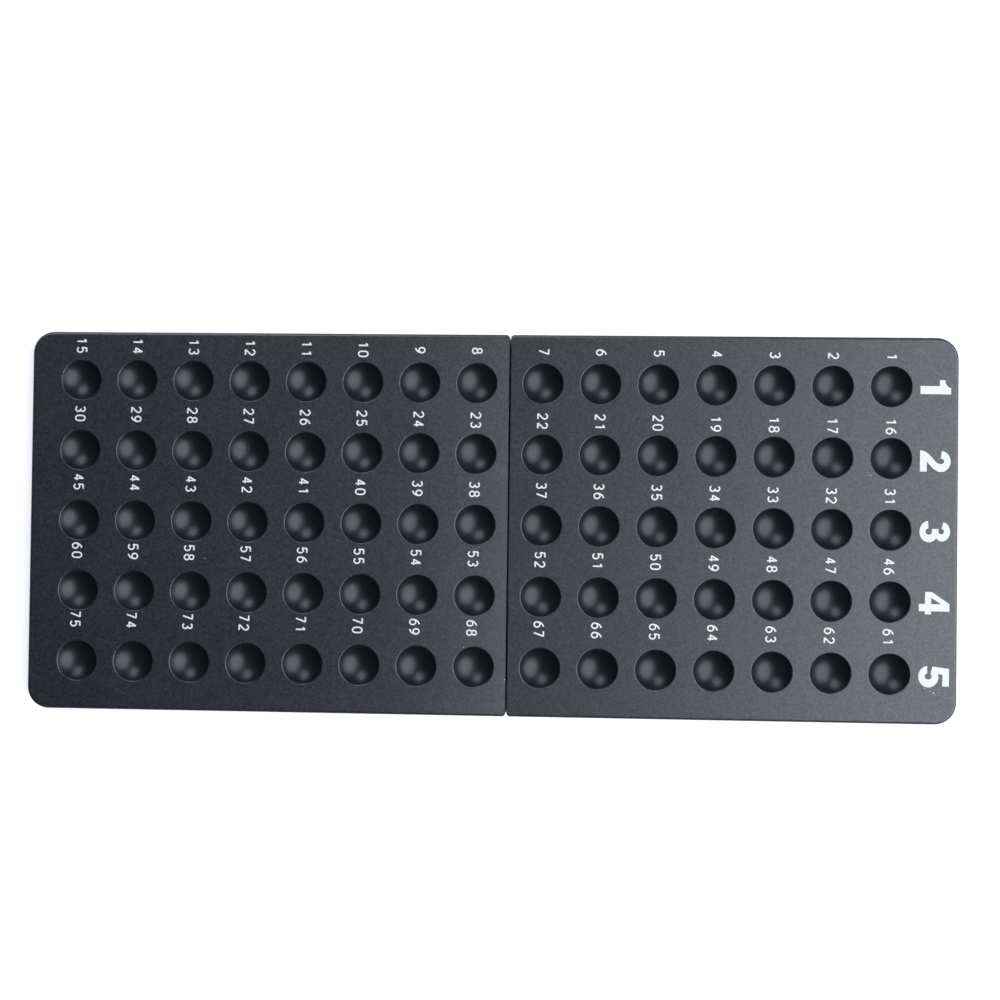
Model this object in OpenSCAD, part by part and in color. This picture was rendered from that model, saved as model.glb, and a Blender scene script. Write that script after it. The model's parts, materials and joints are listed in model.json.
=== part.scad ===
// Folding caller's board for a number draw: two moulded trays hinged in the middle,
// with a round pocket for each drawn ball. X runs along the board towards the header
// strip, Y across it and Z up. The origin is the middle of the base.

/* [Pockets] */
// Diameter of the balls that the pockets hold
ball_d = 22.2; // [21:0.1:23.2]
// Gap between a ball and its pocket's wall, all round
ball_clearance = 0.1; // [0:0.05:0.4]
// Diameter of a pocket's mouth, before its edge is rounded
mouth_d = 18; // [14:0.5:19]
// Radius of the rounded edge of a pocket's mouth
mouth_round = 0.5; // [0.2:0.1:1]
// Distance between neighbouring pockets along the board
pitch = 25.4; // [24:0.2:32]
// Distance between neighbouring pockets across the board
row_pitch = 31.4; // [26:0.2:38]
// Pockets along the lower tray
lower_columns = 8; // [2:1:10]
// Pockets along the header tray
header_columns = 7; // [2:1:10]
// Pockets across each tray
rows = 5; // [3:1:7]

/* [Trays] */
// Height of the open board, from the table to the top of its deck
board_h = 12; // [11.5:0.5:18]
// Thickness of the deck between the pockets
deck_t = 2; // [1.2:0.1:2.4]
// Thickness of a pocket's bowl
bowl_t = 1.5; // [1:0.1:2]
// Thickness of the skirt round each tray
skirt_t = 1.8; // [1.2:0.1:2.6]
// From the seam face to the nearest pocket centres
seam_margin = 14.4; // [13:0.2:20]
// From the last pocket centres to the lower tray's end
end_margin = 22.4; // [18:0.2:30]
// From the first pocket centres to the header tray's end, where the header is printed
header_margin = 29.3; // [22:0.1:45]
// From the outer rows' pocket centres to the long sides
side_margin = 21.7; // [17:0.1:30]
// Radius of the four outer corners, seen from above
corner_r = 9.6; // [5:0.2:14]
// Radius of the corners at the seam, seen from above
seam_corner_r = 1.9; // [0.5:0.1:2.5]
// Radius of the rounded top edge
edge_round = 1.4; // [0.4:0.1:2]
// Bevel along the top edges of the seam
seam_bevel = 0.25; // [0.1:0.05:0.5]

/* [Feet] */
// Thickness of the crossed ribs that carry a foot's pad
rib_t = 1.2; // [0.8:0.1:1.6]
// Diameter of a foot's round pad
foot_d = 7; // [5:0.5:9]
// Thickness of a foot's round pad
foot_pad_h = 3; // [2:0.5:5]
// From a foot's centre to the tray's long side
foot_side_inset = 14; // [12:0.5:18]

/* [Hinge] */
// Diameter of a hinge pin
pin_d = 1.6; // [1.2:0.1:2]
// Diameter of a knuckle
knuckle_d = 4; // [3.4:0.1:4.6]
// Length of one knuckle
knuckle_l = 6; // [4:0.5:8]
// Knuckles on each pin, both trays' together
knuckles = 5; // [3:2:7]
// From the middle of the board to the middle of each hinge
hinge_offset = 52; // [26:1:55]
// Running gap round the pin, in the knuckles that turn on it
pin_clearance = 0.05; // [0.02:0.01:0.08]
// Gap between two knuckles end to end
knuckle_gap = 0.3; // [0.2:0.05:0.6]
// Gap at the seam when the board is open, and between the skirts when it is folded
seam_gap = 0.5; // [0.3:0.1:0.8]
// How far a pin's end lies inside the last knuckle
pin_recess = 0.5; // [0:0.1:1.5]
// How far a knuckle's root reaches under its tray
root_l = 4; // [3:0.5:5]
// Height of a knuckle's root above the axis
root_h = 5; // [3:0.5:6]

/* [Hidden] */
$fn = 96;
overrun = 0.5;

bowl_r = ball_d/2 + ball_clearance;
bowl_rise = sqrt(bowl_r*bowl_r - mouth_d*mouth_d/4);
mouth_x = sqrt(pow(bowl_r + mouth_round, 2) - pow(bowl_rise + mouth_round, 2));
blend_share = bowl_r/(bowl_r + mouth_round);
blend_x = mouth_x*blend_share;
blend_z = bowl_rise - (bowl_rise + mouth_round)*blend_share;

board_w = (rows - 1)*row_pitch + 2*side_margin;
lower_l = seam_margin + (lower_columns - 1)*pitch + end_margin;
header_l = seam_margin + (header_columns - 1)*pitch + header_margin;
board_l = lower_l + seam_gap + header_l;
seam_x = lower_l + seam_gap/2 - board_l/2;
axis_z = knuckle_d/2;
rim_z = axis_z + seam_gap/2;
tray_h = board_h - rim_z;
foot_end_inset = skirt_t + foot_d/2 - rib_t/2;
hinge_l = knuckles*knuckle_l + (knuckles - 1)*knuckle_gap;
pin_l = hinge_l - 2*pin_recess;

// A tray is drawn along +X from its seam face at x = 0, with its rim at z = 0.

// Section of a tray's outer edge, from the middle of the corner's radius outwards
module edge_section() {
    square([corner_r - edge_round, tray_h]);
    square([corner_r, tray_h - edge_round]);
    translate([corner_r - edge_round, tray_h - edge_round]) circle(edge_round);
}

// Solid block with rounded top edges on three sides and a plain end at the seam
module tray_block(l) {
    inner_l = l - corner_r;
    inner_w = board_w - 2*corner_r;
    translate([0, -inner_w/2, 0]) cube([inner_l, inner_w, tray_h]);
    translate([inner_l, inner_w/2, 0]) rotate([90, 0, 0]) linear_extrude(inner_w) edge_section();
    for (side = [-1, 1]) {
        mirror([0, side < 0 ? 1 : 0, 0]) translate([0, inner_w/2, 0]) {
            rotate([90, 0, 90]) linear_extrude(inner_l) edge_section();
            translate([inner_l, 0, 0]) rotate_extrude(angle = 90) edge_section();
        }
    }
}

// Rounds the two upright corners at the seam, and bevels the seam's top edge
module seam_trim() {
    for (side = [-1, 1]) {
        mirror([0, side < 0 ? 1 : 0, 0]) translate([0, board_w/2, -overrun]) difference() {
            translate([-overrun, -seam_corner_r, 0])
                cube([seam_corner_r + overrun, seam_corner_r + overrun, tray_h + 2*overrun]);
            translate([seam_corner_r, -seam_corner_r, -overrun])
                cylinder(h = tray_h + 4*overrun, r = seam_corner_r);
        }
    }
    translate([0, 0, tray_h]) rotate([0, 45, 0])
        cube([seam_bevel*sqrt(2), board_w + 2*overrun, seam_bevel*sqrt(2)], center = true);
}

// The hollow under the deck, inside the skirt
module tray_hollow(l) {
    r = corner_r - skirt_t;
    inner_l = l - skirt_t;
    inner_w = board_w - 2*skirt_t;
    translate([0, 0, -overrun]) linear_extrude(tray_h - deck_t + overrun) {
        translate([skirt_t, -inner_w/2]) square([inner_l - skirt_t - r, inner_w]);
        translate([skirt_t, r - inner_w/2]) square([inner_l - skirt_t, inner_w - 2*r]);
        for (side = [-1, 1]) translate([inner_l - r, side*(inner_w/2 - r)]) circle(r);
    }
}

// Puts its children at each pocket of a tray, at the height of the deck's top
module at_pockets(columns, first) {
    for (column = [0:columns - 1], row = [0:rows - 1])
        translate([first + column*pitch, (row - (rows - 1)/2)*row_pitch, tray_h]) children();
}

// The underside of one pocket's bowl
module bowl() {
    rotate_extrude() intersection() {
        translate([0, bowl_rise]) circle(bowl_r + bowl_t);
        translate([0, -bowl_r - bowl_t]) square([bowl_r + bowl_t, bowl_r + bowl_t - deck_t/2]);
    }
}

// The space inside one pocket, with the rounded edge of its mouth
module pocket() {
    rotate_extrude() {
        intersection() {
            translate([0, bowl_rise]) circle(bowl_r);
            translate([0, -bowl_r]) square([bowl_r, bowl_r + overrun]);
        }
        difference() {
            polygon([[0, overrun], [mouth_x, overrun], [mouth_x, -mouth_round],
                     [blend_x, blend_z], [0, blend_z]]);
            translate([mouth_x, -mouth_round]) circle(mouth_round);
        }
    }
}

// A foot: a round pad under two crossed ribs that stand down from the deck
module foot() {
    post_h = board_h - deck_t/2;
    cylinder(h = foot_pad_h, d = foot_d);
    translate([-foot_d/2, -rib_t/2, 0]) cube([foot_d, rib_t, post_h]);
    translate([-rib_t/2, -foot_d/2, 0]) cube([rib_t, foot_d, post_h]);
}

module tray_feet(l) {
    for (side = [-1, 1])
        translate([l - foot_end_inset, side*(board_w/2 - foot_side_inset), -rim_z]) foot();
}

// Puts its children at the start of each knuckle from the given one on, two apart
module at_knuckles(first) {
    for (side = [-1, 1], k = [first:2:knuckles - 1])
        translate([-seam_gap/2, side*hinge_offset - hinge_l/2 + k*(knuckle_l + knuckle_gap), axis_z - rim_z])
            children();
}

// A knuckle with the root that ties it to the skirt and the deck
module knuckle() {
    rotate([-90, 0, 0]) cylinder(h = knuckle_l, d = knuckle_d);
    rotate([90, 0, 0]) translate([0, 0, -knuckle_l]) linear_extrude(knuckle_l)
        polygon([[seam_gap/2, seam_gap/2], [root_l, seam_gap/2], [root_l, root_h/2],
                 [root_l/2, root_h], [seam_gap/2, root_h]]);
}

// Room for the other tray's knuckle
module knuckle_room() {
    translate([0, -knuckle_gap, 0]) rotate([-90, 0, 0])
        cylinder(h = knuckle_l + 2*knuckle_gap, d = knuckle_d + seam_gap);
}

module pin_bore(d) {
    translate([0, -knuckle_gap/2, 0]) rotate([-90, 0, 0]) cylinder(h = knuckle_l + knuckle_gap, d = d);
}

module tray(l, columns, first_pocket, first_knuckle, bore_d) {
    difference() {
        union() {
            difference() {
                tray_block(l);
                tray_hollow(l);
            }
            at_pockets(columns, first_pocket) bowl();
            tray_feet(l);
            at_knuckles(first_knuckle) knuckle();
        }
        at_pockets(columns, first_pocket) pocket();
        seam_trim();
        at_knuckles(1 - first_knuckle) knuckle_room();
        at_knuckles(first_knuckle) pin_bore(bore_d);
    }
}

// The tray that carries the pockets furthest from the header strip
module lower_tray() {
    color([0.13, 0.13, 0.14])
        translate([seam_x - seam_gap/2, 0, rim_z]) mirror([1, 0, 0])
            tray(lower_l, lower_columns, seam_margin, 0, pin_d);
}

// The tray with the header strip, which folds under the other
module header_tray() {
    color([0.13, 0.13, 0.14])
        translate([seam_x + seam_gap/2, 0, rim_z])
            tray(header_l, header_columns, seam_margin, 1, pin_d + 2*pin_clearance);
}

// A steel pin, pressed into the lower tray's knuckles
module hinge_pin(side) {
    color("silver") translate([seam_x, side*hinge_offset - pin_l/2, axis_z])
        rotate([-90, 0, 0]) cylinder(h = pin_l, d = pin_d);
}

module hinge_pin_back() {
    hinge_pin(1);
}

module hinge_pin_front() {
    hinge_pin(-1);
}

lower_tray();
header_tray();
hinge_pin_back();
hinge_pin_front();
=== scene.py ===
import json
import math

import bmesh
import bpy
from mathutils import Matrix, Vector


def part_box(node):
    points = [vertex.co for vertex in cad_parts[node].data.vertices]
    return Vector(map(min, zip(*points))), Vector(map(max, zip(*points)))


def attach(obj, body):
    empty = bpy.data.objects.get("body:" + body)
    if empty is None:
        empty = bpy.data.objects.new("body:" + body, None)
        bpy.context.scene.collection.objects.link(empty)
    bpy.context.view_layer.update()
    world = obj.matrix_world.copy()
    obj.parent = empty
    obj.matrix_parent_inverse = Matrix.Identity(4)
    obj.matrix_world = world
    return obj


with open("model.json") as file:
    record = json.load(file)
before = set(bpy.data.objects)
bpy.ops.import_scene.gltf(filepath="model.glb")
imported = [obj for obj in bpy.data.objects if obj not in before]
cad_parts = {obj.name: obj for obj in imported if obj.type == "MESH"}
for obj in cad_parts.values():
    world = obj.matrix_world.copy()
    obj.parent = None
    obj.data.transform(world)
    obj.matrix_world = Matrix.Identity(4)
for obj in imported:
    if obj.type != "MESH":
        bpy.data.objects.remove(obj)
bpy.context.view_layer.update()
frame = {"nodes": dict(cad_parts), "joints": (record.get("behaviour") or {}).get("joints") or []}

mm = 0.001
white = (1, 1, 1, 1)
hinge = frame["joints"][0]
seamX = hinge["pos_m"][0]  # the seam lies over the hinge
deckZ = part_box("lower_tray")[1].z  # top of the deck, where the ink lies
print("frame loaded, seam at", round(seamX/mm, 2), "mm, deck at", round(deckZ/mm, 2), "mm")

# The pockets' grid, as the trays have it
grid = {
    "pitch": 25.4*mm,
    "rowPitch": 31.4*mm,
    "seamToPocket": 14.65*mm,  # from the middle of the seam to the nearest pocket centres
    "lowerColumns": 8,
    "headerColumns": 7,
    "rows": 5,
}


def pocketPlace(column, row):
    # columns count from the header strip and rows from the back
    y = ((grid["rows"] - 1)/2 - row)*grid["rowPitch"]
    if column <= grid["headerColumns"]:
        x = seamX + grid["seamToPocket"] + (grid["headerColumns"] - column)*grid["pitch"]
    else:
        x = seamX - grid["seamToPocket"] - (column - grid["headerColumns"] - 1)*grid["pitch"]
    return x, y


# Where the nodes stand in the editor
nodePlaces = {
    "groupIn": (-900, 0),
    "groupOut": (600, 0),
    "coordinates": (-900, 0),
    "shader": (300, 0),
    "bump": (0, -300),
    "coatBump": (0, -500),
}


def newGroup(name, inputs, outputs):
    group = bpy.data.node_groups.new(name, "ShaderNodeTree")
    for socketName, kind, value in inputs:
        socket = group.interface.new_socket(name=socketName, in_out="INPUT", socket_type=kind)
        if value is not None:
            socket.default_value = value
    for socketName, kind in outputs:
        group.interface.new_socket(name=socketName, in_out="OUTPUT", socket_type=kind)
    source = group.nodes.new("NodeGroupInput")
    sink = group.nodes.new("NodeGroupOutput")
    source.location = nodePlaces["groupIn"]
    sink.location = nodePlaces["groupOut"]
    return group, source, sink


def setInput(tree, socket, value):
    # the value is either a link's source or a constant
    if isinstance(value, bpy.types.NodeSocket):
        tree.links.new(value, socket)
    elif value is not None:
        socket.default_value = value


def addNode(tree, kind, place=(0, 0), values=None, **settings):
    node = tree.nodes.new(kind)
    node.location = place
    for key, value in settings.items():
        setattr(node, key, value)
    for key, value in (values or {}).items():
        setInput(tree, node.inputs[key], value)
    return node


def addMath(tree, operation, first, second=None, clamp=False):
    node = addNode(tree, "ShaderNodeMath", operation=operation, use_clamp=clamp)
    for socket, value in zip(node.inputs, (first, second)):
        setInput(tree, socket, value)
    return node.outputs[0]


def addNoise(tree, vector, scale, detail, roughness=0.5, distortion=0.0):
    node = addNode(tree, "ShaderNodeTexNoise", values={
        "Vector": vector, "Scale": scale, "Detail": detail,
        "Roughness": roughness, "Distortion": distortion})
    return node.outputs["Fac"]


def addRamp(tree, value, low, high, toLow=0.0, toHigh=1.0):
    node = addNode(tree, "ShaderNodeMapRange", values={
        "Value": value, "From Min": low, "From Max": high, "To Min": toLow, "To Max": toHigh})
    return node.outputs["Result"]


def addBump(tree, height, strength, distance, place=nodePlaces["bump"]):
    node = addNode(tree, "ShaderNodeBump", place, {
        "Height": height, "Strength": strength, "Distance": distance})
    return node.outputs["Normal"]


def splitAxes(tree, place):
    return addNode(tree, "ShaderNodeSeparateXYZ", values={0: place}).outputs


def mixColours(tree, factor, first, second):
    # sockets 0, 6 and 7 are the factor and the two colours, and output 2 is the colour
    node = addNode(tree, "ShaderNodeMix", data_type="RGBA", values={0: factor, 6: first, 7: second})
    return node.outputs[2]


def mixValues(tree, factor, first, second):
    # sockets 0, 2 and 3 are the factor and the two values, and output 0 is the value
    node = addNode(tree, "ShaderNodeMix", data_type="FLOAT", values={0: factor, 2: first, 3: second})
    return node.outputs[0]


# Fine moulded grain: two sizes of noise, and where on their sum the pale flecks lie
grainLook = {
    "detail": 2.0,
    "roughness": 0.6,
    "coarseScale": 0.31,
    "coarseDetail": 1.0,
    "coarseShare": 0.2,
    "mask": (0.47, 0.73),
}


def makeGrainGroup():
    # a height for bump, and a mask of where the grain is open
    group, source, sink = newGroup("mouldGrain", [
        ("Vector", "NodeSocketVector", None),
        ("Grain Size", "NodeSocketFloat", 0.5*mm),
    ], [("Height", "NodeSocketFloat"), ("Mask", "NodeSocketFloat")])
    vector = source.outputs["Vector"]
    scale = addMath(group, "DIVIDE", 1.0, source.outputs["Grain Size"])
    fine = addNoise(group, vector, scale, grainLook["detail"], grainLook["roughness"])
    coarseScale = addMath(group, "MULTIPLY", scale, grainLook["coarseScale"])
    coarse = addNoise(group, vector, coarseScale, grainLook["coarseDetail"])
    total = addMath(group, "ADD", fine, addMath(group, "MULTIPLY", coarse, grainLook["coarseShare"]))
    group.links.new(total, sink.inputs["Height"])
    group.links.new(addRamp(group, total, *grainLook["mask"]), sink.inputs["Mask"])
    return group


# Soft clouds in the plastic's colour and gloss
mottleLook = {"detail": 4.0, "roughness": 0.62, "distortion": 0.4, "range": (0.3, 0.7)}


def makeMottleGroup():
    group, source, sink = newGroup("softMottle", [
        ("Vector", "NodeSocketVector", None),
        ("Cloud Size", "NodeSocketFloat", 20*mm),
    ], [("Clouds", "NodeSocketFloat")])
    scale = addMath(group, "DIVIDE", 1.0, source.outputs["Cloud Size"])
    clouds = addNoise(group, source.outputs["Vector"], scale, mottleLook["detail"],
                      mottleLook["roughness"], mottleLook["distortion"])
    group.links.new(addRamp(group, clouds, *mottleLook["range"]), sink.inputs["Clouds"])
    return group


# Short faint rub marks that lie along one direction, in patches
scuffLook = {
    "stretch": (90, 1700, 300),  # marks for each metre along X, Y and Z
    "lineDetail": 2.0,
    "lineRoughness": 0.55,
    "lineRange": (0.6, 0.8),
    "patchScale": 38.0,
    "patchDetail": 3.0,
    "patchRoughness": 0.6,
    "patchRange": (0.48, 0.72),
}


def makeScuffGroup():
    group, source, sink = newGroup("rubMarks", [
        ("Vector", "NodeSocketVector", None),
        ("Angle", "NodeSocketFloat", 0.4),
        ("Amount", "NodeSocketFloat", 0.5),
    ], [("Mask", "NodeSocketFloat")])
    vector = source.outputs["Vector"]
    turned = addNode(group, "ShaderNodeVectorRotate", rotation_type="Z_AXIS",
                     values={"Vector": vector, "Angle": source.outputs["Angle"]})
    stretched = addNode(group, "ShaderNodeVectorMath", operation="MULTIPLY",
                        values={0: turned.outputs["Vector"], 1: scuffLook["stretch"]})
    lines = addNoise(group, stretched.outputs["Vector"], 1.0,
                     scuffLook["lineDetail"], scuffLook["lineRoughness"])
    patches = addNoise(group, vector, scuffLook["patchScale"],
                       scuffLook["patchDetail"], scuffLook["patchRoughness"])
    lineMask = addRamp(group, lines, *scuffLook["lineRange"])
    patchMask = addRamp(group, patches, *scuffLook["patchRange"])
    both = addMath(group, "MULTIPLY", lineMask, patchMask)
    group.links.new(addMath(group, "MULTIPLY", both, source.outputs["Amount"], True), sink.inputs["Mask"])
    return group


def makeSpeckGroup():
    # a few pale specks of dust and nicks: small spots in a share of the cells
    group, source, sink = newGroup("paleSpecks", [
        ("Vector", "NodeSocketVector", None),
        ("Spacing", "NodeSocketFloat", 6*mm),
        ("Share", "NodeSocketFloat", 0.05),
        ("Radius", "NodeSocketFloat", 0.06),
    ], [("Mask", "NodeSocketFloat")])
    scale = addMath(group, "DIVIDE", 1.0, source.outputs["Spacing"])
    cells = addNode(group, "ShaderNodeTexVoronoi", feature="F1",
                    values={"Vector": source.outputs["Vector"], "Scale": scale})
    near = addMath(group, "LESS_THAN", cells.outputs["Distance"], source.outputs["Radius"])
    colour = addNode(group, "ShaderNodeSeparateColor", values={"Color": cells.outputs["Color"]})
    chosen = addMath(group, "LESS_THAN", colour.outputs["Red"], source.outputs["Share"])
    group.links.new(addMath(group, "MULTIPLY", near, chosen), sink.inputs["Mask"])
    return group


groups = {
    "grain": makeGrainGroup(),
    "mottle": makeMottleGroup(),
    "scuff": makeScuffGroup(),
    "speck": makeSpeckGroup(),
}
print("shared finishes made:", ", ".join(g.name for g in groups.values()))


def placeGroup(tree, name, vector, **values):
    node = tree.nodes.new("ShaderNodeGroup")
    node.node_tree = groups[name]
    tree.links.new(vector, node.inputs["Vector"])
    for key, value in values.items():
        node.inputs[key.replace("_", " ")].default_value = value
    return node.outputs


def newMaterial(name):
    material = bpy.data.materials.new(name)
    material.use_nodes = True
    tree = material.node_tree
    shader = tree.nodes["Principled BSDF"]
    shader.location = nodePlaces["shader"]
    coordinates = addNode(tree, "ShaderNodeTexCoord", nodePlaces["coordinates"])
    return material, tree, shader, coordinates.outputs["Object"]


# Black plastic of the two trays: a satin deck with a slight polish, and plainer bowls with painted shade
# in their darker base colour
plastic = {
    "deepColour": (0.0030, 0.0034, 0.0053, 1),
    "paleColour": (0.0212, 0.0229, 0.0290, 1),
    # painted shade: the bowls' darker base colour stands in for the shade inside the pockets
    "bowlShadeColour": (0.0074, 0.0081, 0.0102, 1),
    "scuffColour": (0.085, 0.089, 0.098, 1),
    "speckColour": (0.42, 0.43, 0.45, 1),
    "fleckShare": 0.85,  # of the grain in the mix of deep and pale
    "cloudShare": 0.15,
    "scuffAmount": 0.9,
    "speckShare": 0.012,
    "speckRadius": 0.035,
    "deckRough": (0.36, 0.40),
    "fleckRough": 0.05,  # what a fleck or a rub mark adds
    "scuffRough": 0.08,
    "bowlRough": 0.36,
    "specular": 0.37,
    "polish": {"index": 1.70, "roughness": 0.38, "least": 0.66, "bowls": 0.22},
    "grainSize": 0.62*mm,
    "grainDepth": 0.013*mm,
    "bowlGrain": 0.3,  # of the grain's depth
    "sunk": (0.45*mm, 0.1*mm),  # under the deck's top, fully and not yet
    "innerEdge": (198*mm, 78*mm),  # the bowls lie inside this, the outer edges beyond it
    # the two decks lean a little towards the seam, in degrees, and the lower one
    # bends down beside it: from where, and how fast its slope grows in 1 m
    "lower": {"lean": 1.5, "bendFrom": -46*mm, "bend": 0.85},
    "header": {"lean": -0.85, "bendFrom": 0, "bend": 0},
}


def findBowls(tree, axes):
    # what lies under the deck's top, and the part of it away from the outer edges
    deep, shallow = plastic["sunk"]
    sunk = addRamp(tree, axes["Z"], deckZ - deep, deckZ - shallow, 1.0, 0.0)
    bowls = sunk
    for axis, limit in zip("XY", plastic["innerEdge"]):
        inside = addMath(tree, "LESS_THAN", addMath(tree, "ABSOLUTE", axes[axis]), limit)
        bowls = addMath(tree, "MULTIPLY", bowls, inside)
    return sunk, bowls


def findSlope(tree, x, side):
    # height in metres of the deck's lean and bend
    slope = addMath(tree, "MULTIPLY", x, -math.tan(math.radians(side["lean"])))
    past = addMath(tree, "MAXIMUM", addMath(tree, "SUBTRACT", x, side["bendFrom"]), 0.0)
    bent = addMath(tree, "MULTIPLY", addMath(tree, "MULTIPLY", past, past), side["bend"]/2)
    return addMath(tree, "SUBTRACT", slope, bent)


def makePlastic(name, side):
    material, tree, shader, place = newMaterial(name)
    grain = placeGroup(tree, "grain", place, Grain_Size=plastic["grainSize"])
    clouds = placeGroup(tree, "mottle", place)["Clouds"]
    scuff = placeGroup(tree, "scuff", place, Amount=plastic["scuffAmount"])["Mask"]
    speck = placeGroup(tree, "speck", place, Share=plastic["speckShare"],
                       Radius=plastic["speckRadius"])["Mask"]
    flecks = grain["Mask"]
    axes = splitAxes(tree, place)
    sunk, bowls = findBowls(tree, axes)
    # colour, from the grain up to the specks, with painted shade darkening the bowls
    paleness = addMath(tree, "ADD", addMath(tree, "MULTIPLY", flecks, plastic["fleckShare"]),
                       addMath(tree, "MULTIPLY", clouds, plastic["cloudShare"]))
    colour = mixColours(tree, paleness, plastic["deepColour"], plastic["paleColour"])
    for mask, key in ((scuff, "scuffColour"), (bowls, "bowlShadeColour"), (speck, "speckColour")):
        colour = mixColours(tree, mask, colour, plastic[key])
    tree.links.new(colour, shader.inputs["Base Color"])
    # gloss
    rough = addRamp(tree, clouds, 0, 1, *plastic["deckRough"])
    for mask, key in ((flecks, "fleckRough"), (scuff, "scuffRough")):
        rough = addMath(tree, "ADD", rough, addMath(tree, "MULTIPLY", mask, plastic[key]))
    rough = mixValues(tree, bowls, rough, plastic["bowlRough"])
    tree.links.new(rough, shader.inputs["Roughness"])
    shader.inputs["Specular IOR Level"].default_value = plastic["specular"]
    # the deck's polish, a little uneven with the grain
    polish = plastic["polish"]
    above = addRamp(tree, sunk, 0, 1, 1.0, polish["bowls"])
    uneven = addRamp(tree, flecks, 0, 1, polish["least"], 1.0)
    tree.links.new(addMath(tree, "MULTIPLY", above, uneven), shader.inputs["Coat Weight"])
    shader.inputs["Coat IOR"].default_value = polish["index"]
    shader.inputs["Coat Roughness"].default_value = polish["roughness"]
    # heights in metres: the grain, and a slope for the lean, which the polish shows alone
    depth = addRamp(tree, bowls, 0, 1, plastic["grainDepth"], plastic["grainDepth"]*plastic["bowlGrain"])
    fine = addMath(tree, "MULTIPLY", grain["Height"], depth)
    slope = findSlope(tree, axes["X"], side)
    normal = addBump(tree, addMath(tree, "ADD", fine, slope), 1.0, 1.0)
    tree.links.new(normal, shader.inputs["Normal"])
    coatNormal = addBump(tree, slope, 1.0, 1.0, nodePlaces["coatBump"])
    tree.links.new(coatNormal, shader.inputs["Coat Normal"])
    return material


def dress(nodeName, material):
    for slot in frame["nodes"][nodeName].material_slots:
        slot.material = material


dress("lower_tray", makePlastic("blackPlasticLower", plastic["lower"]))
dress("header_tray", makePlastic("blackPlasticHeader", plastic["header"]))
print("trays dressed")

# Hinge pins of drawn steel wire
steel = {
    "colour": (0.56, 0.56, 0.57, 1),
    "lineColour": (0.42, 0.42, 0.43, 1),
    "roughness": (0.28, 0.42),
    "stretch": (9000, 400, 9000),  # lines for each metre, long ones along Y
    "lineDetail": 2.0,
    "lineRange": (0.3, 0.7),
    "bump": (0.4, 0.01*mm),  # strength and height
}


def makeSteel():
    material, tree, shader, place = newMaterial("drawnSteel")
    stretched = addNode(tree, "ShaderNodeMapping", values={"Vector": place, "Scale": steel["stretch"]})
    lines = addNoise(tree, stretched.outputs["Vector"], 1.0, steel["lineDetail"])
    shader.inputs["Metallic"].default_value = 1.0
    colour = mixColours(tree, lines, steel["colour"], steel["lineColour"])
    tree.links.new(colour, shader.inputs["Base Color"])
    rough = addRamp(tree, lines, *steel["lineRange"], *steel["roughness"])
    tree.links.new(rough, shader.inputs["Roughness"])
    tree.links.new(addBump(tree, lines, *steel["bump"]), shader.inputs["Normal"])
    return material


steelMaterial = makeSteel()
for name in ("hinge_pin_back", "hinge_pin_front"):
    dress(name, steelMaterial)
print("pins dressed")

# White printing ink, with thin patches
ink = {
    "colour": (0.82, 0.83, 0.83, 1),
    "thinColour": (0.72, 0.74, 0.75, 1),
    "roughness": (0.50, 0.65),
    "patches": (900.0, 3.0, 0.6),  # scale, detail and roughness of the noise
    "thinRange": (0.55, 0.75),
    "roughRange": (0.3, 0.7),
    "bump": (0.6, 0.01*mm),  # strength and height
    "thickness": 0.03*mm,
    "lift": 0.005*mm,  # the ink's middle over the deck, and one stroke over the last
}


def makeInk():
    material, tree, shader, place = newMaterial("whiteInk")
    patches = addNoise(tree, place, *ink["patches"])
    thin = addRamp(tree, patches, *ink["thinRange"])
    tree.links.new(mixColours(tree, thin, ink["colour"], ink["thinColour"]), shader.inputs["Base Color"])
    rough = addRamp(tree, patches, *ink["roughRange"], *ink["roughness"])
    tree.links.new(rough, shader.inputs["Roughness"])
    tree.links.new(addBump(tree, patches, *ink["bump"]), shader.inputs["Normal"])
    return material


inkMaterial = makeInk()


def arc(middle, radii, start, end, steps=12):
    # points on an ellipse, by angle in degrees
    points = []
    for i in range(steps + 1):
        angle = math.radians(start + (end - start)*i/steps)
        points.append((middle[0] + radii[0]*math.cos(angle), middle[1] + radii[1]*math.sin(angle)))
    return points


def digitStrokes(a, b):
    # strokes of the ten digits, as lines through their middle, and whether each is closed:
    # a is half the width, b the height, and the rounds are ellipses set on the box's edges
    ring = arc((0, b - 1.2*a), (a, 1.2*a), 0, 180) + arc((0, 1.2*a), (a, 1.2*a), 180, 360)
    big, upper, lower, hook = 0.31*b, 0.235*b, 0.265*b, 0.29*b
    return {
        "0": [(ring, True)],
        "1": [([(0.3*a, 0), (0.3*a, b)], False), ([(0.3*a, 0.97*b), (-0.55*a, 0.78*b)], False)],
        "2": [(arc((0, b - hook), (a, hook), 165, -32) + [(-a, 0)], False),
              ([(-a, 0), (1.05*a, 0)], False)],
        "3": [(arc((0, b - upper), (0.92*a, upper), 152, -90), False),
              (arc((0, lower), (a, lower), 90, -152), False)],
        "4": [([(0.45*a, b), (-a, 0.28*b)], False), ([(-1.1*a, 0.28*b), (1.1*a, 0.28*b)], False),
              ([(0.45*a, 0), (0.45*a, b)], False)],
        "5": [([(0.9*a, b), (-0.8*a, b)], False), ([(-0.72*a, b), (-0.86*a, 0.47*b)], False),
              (arc((0, big), (a, big), 147, -150), False)],
        "6": [(arc((0, big), (a, big), 0, 360, 20), True),
              (arc((1.1*a, big), (2.1*a, b - big), 180, 98, 8), False)],
        "7": [([(-a, b), (1.05*a, b)], False), ([(0.9*a, b), (-0.4*a, 0)], False)],
        "8": [(arc((0, b - upper), (0.85*a, upper), 0, 360, 20), True),
              (arc((0, lower), (a, lower), 0, 360, 20), True)],
        "9": [(arc((0, b - big), (a, big), 0, 360, 20), True),
              (arc((-1.1*a, b - big), (2.1*a, b - big), 0, -82, 8), False)],
    }


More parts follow.
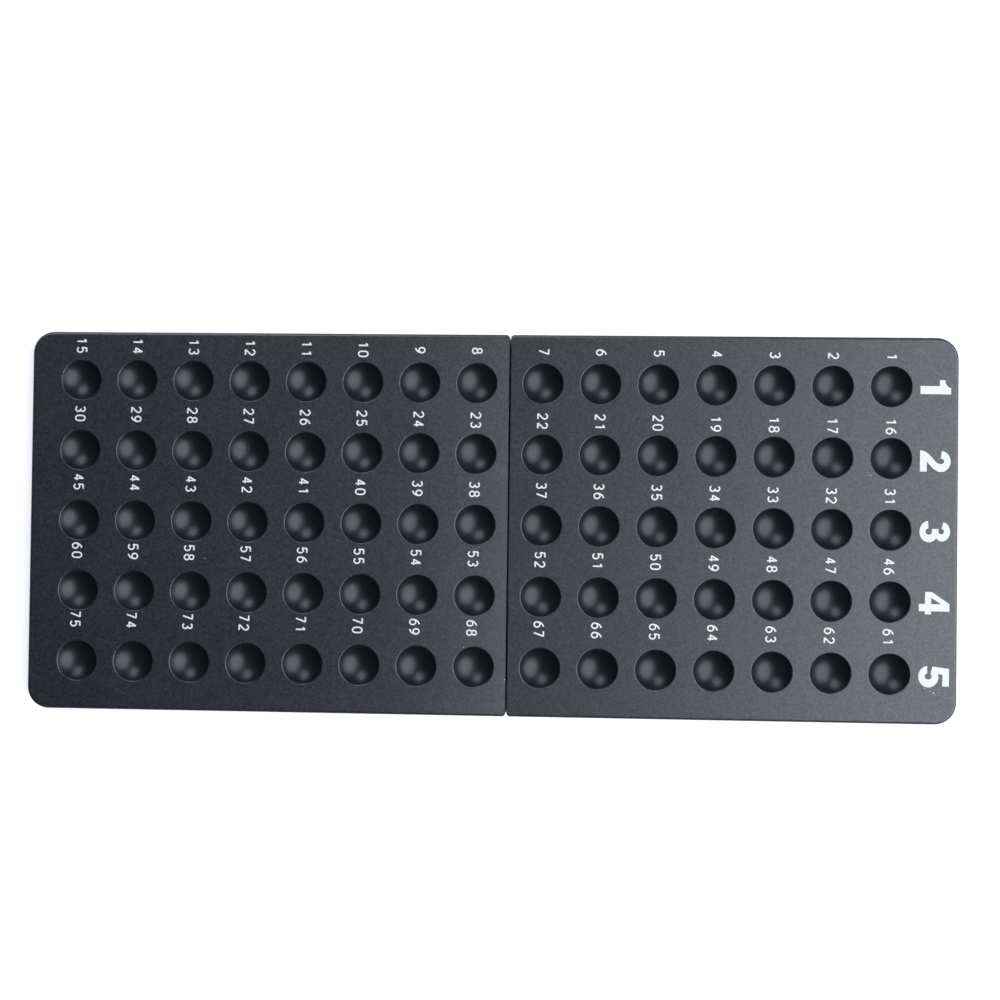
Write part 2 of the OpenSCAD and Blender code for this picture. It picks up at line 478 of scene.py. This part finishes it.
def addLine(curve, points, closed, z=0.0):
    line = curve.splines.new("POLY")
    line.points.add(len(points) - 1)
    for point, (x, y) in zip(line.points, points):
        point.co = (x, y, z, 1)
    line.use_cyclic_u = closed


def curveMesh(curve, section=None):
    # the curve as a mesh, with the section's curve along it if there is one
    helpers = []
    for data in (section, curve):
        if data:
            helper = bpy.data.objects.new(data.name, data)
            bpy.context.scene.collection.objects.link(helper)
            helpers.append(helper)
    if section:
        curve.bevel_mode = "OBJECT"
        curve.bevel_object = helpers[0]
    bpy.context.view_layer.update()
    shaped = helpers[-1].evaluated_get(bpy.context.evaluated_depsgraph_get())
    mesh = bpy.data.meshes.new_from_object(shaped)
    for helper in helpers:
        bpy.data.objects.remove(helper)
    return mesh


def strokeMesh(name, strokes, weight, thickness):
    # one digit: each stroke is a line with a flat section
    section = bpy.data.curves.new(name + "Section", "CURVE")
    section.dimensions = "2D"
    corners = ((-1, -1), (1, -1), (1, 1), (-1, 1))
    addLine(section, [(x*weight/2, y*thickness/2) for x, y in corners], True)
    curve = bpy.data.curves.new(name, "CURVE")
    curve.dimensions = "3D"
    curve.twist_mode = "Z_UP"
    curve.use_fill_caps = True
    for layer, (points, closed) in enumerate(strokes):
        addLine(curve, points, closed, layer*ink["lift"])
    return curveMesh(curve, section)


def outlineMesh(name, outlines, thickness):
    # one bold numeral: a filled flat curve with some thickness
    curve = bpy.data.curves.new(name, "CURVE")
    curve.dimensions = "2D"
    curve.fill_mode = "BOTH"
    curve.extrude = thickness/2
    for points in outlines:
        addLine(curve, points, True)
    return curveMesh(curve)


def addDigits(bm, text, meshes, place, turn, spacing):
    # digits in a row, centred on the place and turned as one
    for i, digit in enumerate(text):
        first = len(bm.verts)
        bm.from_mesh(meshes[digit])
        bm.verts.ensure_lookup_table()
        shift = Matrix.Translation(((i - (len(text) - 1)/2)*spacing, 0, 0))
        matrix = Matrix.Translation(place) @ Matrix.Rotation(turn, 4, "Z") @ shift
        bmesh.ops.transform(bm, matrix=matrix, verts=bm.verts[first:])


def newPiece(name, bm, material):
    mesh = bpy.data.meshes.new(name)
    bm.to_mesh(mesh)
    bm.free()
    mesh.materials.append(material)
    piece = bpy.data.objects.new(name, mesh)
    bpy.context.scene.collection.objects.link(piece)
    return piece


def printPiece(name, bm, body):
    # ink that rides on one half of the board
    bmesh.ops.recalc_face_normals(bm, faces=bm.faces)
    for face in bm.faces:
        face.smooth = False
    piece = newPiece(name, bm, inkMaterial)
    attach(piece, body)


# Numbers beside the pockets, printed a little askew, as in the photograph
numbers = {
    "height": 4.85*mm,
    "width": 2.95*mm,
    "weight": 0.66*mm,
    "spacing": 4.1*mm,
    "lower": {"turn": -0.42, "shrink": 0.977, "shift": (-0.6*mm, 15.64*mm)},
    "header": {"turn": -0.36, "shrink": 0.9758, "shift": (-0.3*mm, 15.75*mm)},
}


def printPlace(x, y, side):
    # the two printing screens lay slightly turned and short against the pockets
    turn = math.radians(side["turn"])
    px, py = x - seamX, y*side["shrink"] + side["shift"][1]
    return (seamX + px*math.cos(turn) - py*math.sin(turn) + side["shift"][0],
            px*math.sin(turn) + py*math.cos(turn))


def printTurn(side):
    # the print lies a quarter to the right, so its tops point to the header end
    return math.radians(side["turn"] - 90)


def makeNumbers():
    a = (numbers["width"] - numbers["weight"])/2
    b = numbers["height"] - numbers["weight"]
    meshes = {digit: strokeMesh("digit" + digit, strokes, numbers["weight"], ink["thickness"])
              for digit, strokes in digitStrokes(a, b).items()}
    for mesh in meshes.values():
        mesh.transform(Matrix.Translation((0, -b/2, 0)))
    firstLower = grid["headerColumns"] + 1
    columns = grid["headerColumns"] + grid["lowerColumns"]
    for name, body, side, span in (
            ("header_numbers", "header_half", numbers["header"], range(1, firstLower)),
            ("lower_numbers", "lower_half", numbers["lower"], range(firstLower, columns + 1))):
        turn = printTurn(side)
        bm = bmesh.new()
        for column in span:
            for row in range(grid["rows"]):
                x, y = printPlace(*pocketPlace(column, row), side)
                number = str(column + columns*row)
                addDigits(bm, number, meshes, (x, y, deckZ + ink["lift"]), turn, numbers["spacing"])
        printPiece(name, bm, body)


makeNumbers()
print("numbers printed")

# Bold row headers on the end strip: plain numerals 1 to 5
headers = {
    "box": (10, 13),  # that the outlines are drawn on
    "size": (9.8*mm, 13.2*mm),  # of that box on the board
    "middleX": 186.2*mm,  # from the seam
    "places": (61.8*mm, 30.25*mm, -0.5*mm, -31.6*mm, -63.65*mm),
    "turn": -0.38,
    "merge": 0.001*mm,  # corners closer than this are one
}


def boldOutlines():
    # closed outlines of five heavy numerals, on a box 10 wide and 13 high, holes last
    one = [(7.2, 0), (7.2, 13), (4.5, 13)] + arc((0.9, 13.2), (3.5, 2.7), -20, -90, 5)
    one += [(0.9, 8.2), (3.6, 8.2), (3.6, 0)]
    two = arc((5, 8.9), (4.7, 4.1), 176, -24, 16)
    two += [(8.1, 5.5), (6.6, 4.1), (5.1, 2.9), (9.6, 2.9), (9.6, 0), (0.1, 0)]
    two += [(0.5, 1.9), (1.6, 3.6), (3.7, 5.5), (5.4, 6.9), (6.0, 7.9)]
    two += arc((4.95, 8.9), (1.25, 1.35), -5, 184, 8)
    three = arc((4.9, 9.6), (4.3, 3.4), 172, -48, 14) + arc((4.9, 4.0), (4.8, 4.0), 40, -174, 18)
    three += arc((4.9, 3.95), (1.45, 1.4), 184, 440, 14) + [(3.7, 5.4), (3.7, 8.0)]
    three += arc((4.8, 9.25), (1.25, 1.2), -80, 172, 10)
    four = [(5.3, 13), (8.6, 13), (8.6, 5.2), (10, 5.2), (10, 2.6), (8.6, 2.6), (8.6, 0), (5.4, 0)]
    four += [(5.4, 2.6), (0, 2.6), (0, 5.5)]
    fourHole = [(5.4, 5.2), (5.4, 9.5), (2.6, 5.2)]
    five = [(1.3, 13), (9.1, 13), (9.1, 10.2), (3.9, 10.2), (3.65, 8.2)]
    five += arc((4.9, 4.3), (4.8, 4.3), 88, -172, 20) + arc((4.8, 4.2), (1.4, 1.5), 196, 500, 14)
    five += [(0.4, 5.9)]
    return {"1": [one], "2": [two], "3": [three], "4": [four, fourHole], "5": [five]}


def makeHeaders():
    (wide, high), (sizeX, sizeY) = headers["box"], headers["size"]
    turn = printTurn(headers)
    bm = bmesh.new()
    for (digit, outlines), y in zip(boldOutlines().items(), headers["places"]):
        scaled = [[((u - wide/2)*(sizeX/wide), (v - high/2)*(sizeY/high)) for u, v in points]
                  for points in outlines]
        mesh = outlineMesh("header" + digit, scaled, ink["thickness"])
        addDigits(bm, digit, {digit: mesh}, (seamX + headers["middleX"], y, deckZ + ink["lift"]), turn, 0)
    bmesh.ops.remove_doubles(bm, verts=bm.verts, dist=headers["merge"])
    printPiece("row_headers", bm, "header_half")


makeHeaders()
print("row headers printed")

# Small splashes of ink beside the print: flat drops, each a little longer one way
splashes = {
    "sides": 10,
    "turn": 1.3,  # radians from each drop to the next
    "narrow": 0.75,
    "top": 0.8,  # of the radius
    "depth": ink["thickness"]/2,
    # X, Y and radius in millimetres
    "header_half": [(184.4, 69.3, 0.16), (167.6, 23.8, 0.22), (191.6, -68.7, 0.2), (197.8, -69.0, 0.16),
                    (193.9, -69.9, 0.26), (195.4, -70.6, 0.32), (196.1, -71.4, 0.14)],
    "lower_half": [(-9.8, -54.1, 0.2), (8.5, -68.1, 0.24)],
}


def makeSplashes():
    for name, body in (("header_splashes", "header_half"), ("lower_splashes", "lower_half")):
        bm = bmesh.new()
        for i, (x, y, radius) in enumerate(splashes[body]):
            place = Matrix.Translation((x*mm, y*mm, deckZ + splashes["depth"]/2))
            shape = Matrix.Diagonal((1.0, splashes["narrow"], 1.0, 1))
            bmesh.ops.create_cone(bm, cap_ends=True, segments=splashes["sides"], radius1=radius*mm,
                                  radius2=radius*splashes["top"]*mm, depth=splashes["depth"],
                                  matrix=place @ Matrix.Rotation(splashes["turn"]*i, 4, "Z") @ shape)
        printPiece(name, bm, body)


makeSplashes()
print("ink splashes made")

# White table that keeps the board's shadow
floor = {
    "size": 12.0,
    "colour": (0.82, 0.82, 0.82, 1),
    "cloudColour": (0.80, 0.80, 0.80, 1),
    "clouds": (1.5, 2.0),  # scale and detail of the noise
    "roughness": 0.9,
    "specular": 0.1,
    "glow": 0.62,
    "farGlow": (0.6, 3.0),  # from here to there, in metres, the glow grows to full white
    "seamStrip": (3*mm, 84*mm),  # half the width and half the length
}


def findGlow(tree, place):
    # only the camera and reflections see the table glow
    path = addNode(tree, "ShaderNodeLightPath").outputs
    seen = addMath(tree, "ADD", path["Is Camera Ray"], path["Is Glossy Ray"], True)
    # no glow in a narrow strip under the seam, which stays dark between the trays
    axes = splitAxes(tree, place)
    halfWidth, halfLength = floor["seamStrip"]
    fromSeam = addMath(tree, "ABSOLUTE", addMath(tree, "SUBTRACT", axes["X"], seamX))
    beside = addMath(tree, "GREATER_THAN", fromSeam, halfWidth)
    beyond = addMath(tree, "GREATER_THAN", addMath(tree, "ABSOLUTE", axes["Y"]), halfLength)
    lit = addMath(tree, "MULTIPLY", seen, addMath(tree, "MAXIMUM", beside, beyond))
    # the lamps reach less far than the table does, so its glow grows outwards
    reach = addNode(tree, "ShaderNodeVectorMath", operation="LENGTH", values={0: place})
    level = addRamp(tree, reach.outputs["Value"], *floor["farGlow"], floor["glow"], 1.0)
    return addMath(tree, "MULTIPLY", lit, level)


def makeFloor():
    material, tree, shader, place = newMaterial("whiteTable")
    shader.inputs["Roughness"].default_value = floor["roughness"]
    shader.inputs["Specular IOR Level"].default_value = floor["specular"]
    clouds = addNoise(tree, place, *floor["clouds"])
    colour = mixColours(tree, clouds, floor["colour"], floor["cloudColour"])
    tree.links.new(colour, shader.inputs["Base Color"])
    shader.inputs["Emission Color"].default_value = white
    tree.links.new(findGlow(tree, place), shader.inputs["Emission Strength"])
    bm = bmesh.new()
    bmesh.ops.create_grid(bm, x_segments=1, y_segments=1, size=floor["size"]/2)
    newPiece("floor", bm, material)


makeFloor()

# Lamps: one large soft one past the header end, and a softer and cooler one at the back
lamps = {
    "keyLamp": {"tilt": 41.6, "heading": -8.5, "distance": 1.643, "size": (2.62, 1.96),
                "watts": 41.2, "colour": (0.94, 1.0, 1.10)},
    "backLamp": {"tilt": 50.1, "heading": 107, "distance": 3.84, "size": (2.2, 2.8),
                 "watts": 53, "colour": (0.92, 0.99, 1.13)},
}


def makeLamps():
    for name, lamp in lamps.items():
        data = bpy.data.lights.new(name, "AREA")
        data.shape = "ELLIPSE"
        data.size, data.size_y = lamp["size"]
        data.energy = lamp["watts"]
        data.color = lamp["colour"]
        piece = bpy.data.objects.new(name, data)
        tilt, heading = math.radians(lamp["tilt"]), math.radians(lamp["heading"])
        out = Vector((math.sin(tilt)*math.cos(heading), math.sin(tilt)*math.sin(heading), math.cos(tilt)))
        piece.location = out*lamp["distance"]
        piece.rotation_euler = out.to_track_quat("Z", "Y").to_euler()
        piece.visible_camera = False
        bpy.context.scene.collection.objects.link(piece)


makeLamps()

# White to the camera, and only a faint light on the board
world = {"colour": (0.95, 0.98, 1.0, 1), "level": 0.02}


def makeWorld():
    scenery = bpy.data.worlds.new("studio")
    scenery.use_nodes = True
    tree = scenery.node_tree
    background = tree.nodes["Background"]
    seen = addNode(tree, "ShaderNodeLightPath").outputs["Is Camera Ray"]
    tree.links.new(mixColours(tree, seen, world["colour"], white), background.inputs["Color"])
    tree.links.new(addRamp(tree, seen, 0, 1, world["level"], 1.0), background.inputs["Strength"])
    bpy.context.scene.world = scenery
    bpy.context.scene.view_settings.view_transform = "Standard"


makeWorld()
print("table, lamps and world set")

# The camera stands over the header tray and looks down, nearly straight
camera = {
    "lens": 54,
    "sensor": 36,
    "clip": (0.05, 20),
    "place": (37.11*mm, -0.16*mm, 674.54*mm),
    "angles": (1.01, 2.72, 0.74),
}


def makeCamera():
    data = bpy.data.cameras.new("photoCamera")
    data.lens = camera["lens"]
    data.sensor_width = camera["sensor"]
    data.clip_start, data.clip_end = camera["clip"]
    piece = bpy.data.objects.new("photoCamera", data)
    piece.location = camera["place"]
    piece.rotation_euler = [math.radians(v) for v in camera["angles"]]
    bpy.context.scene.collection.objects.link(piece)
    bpy.context.scene.camera = piece


makeCamera()
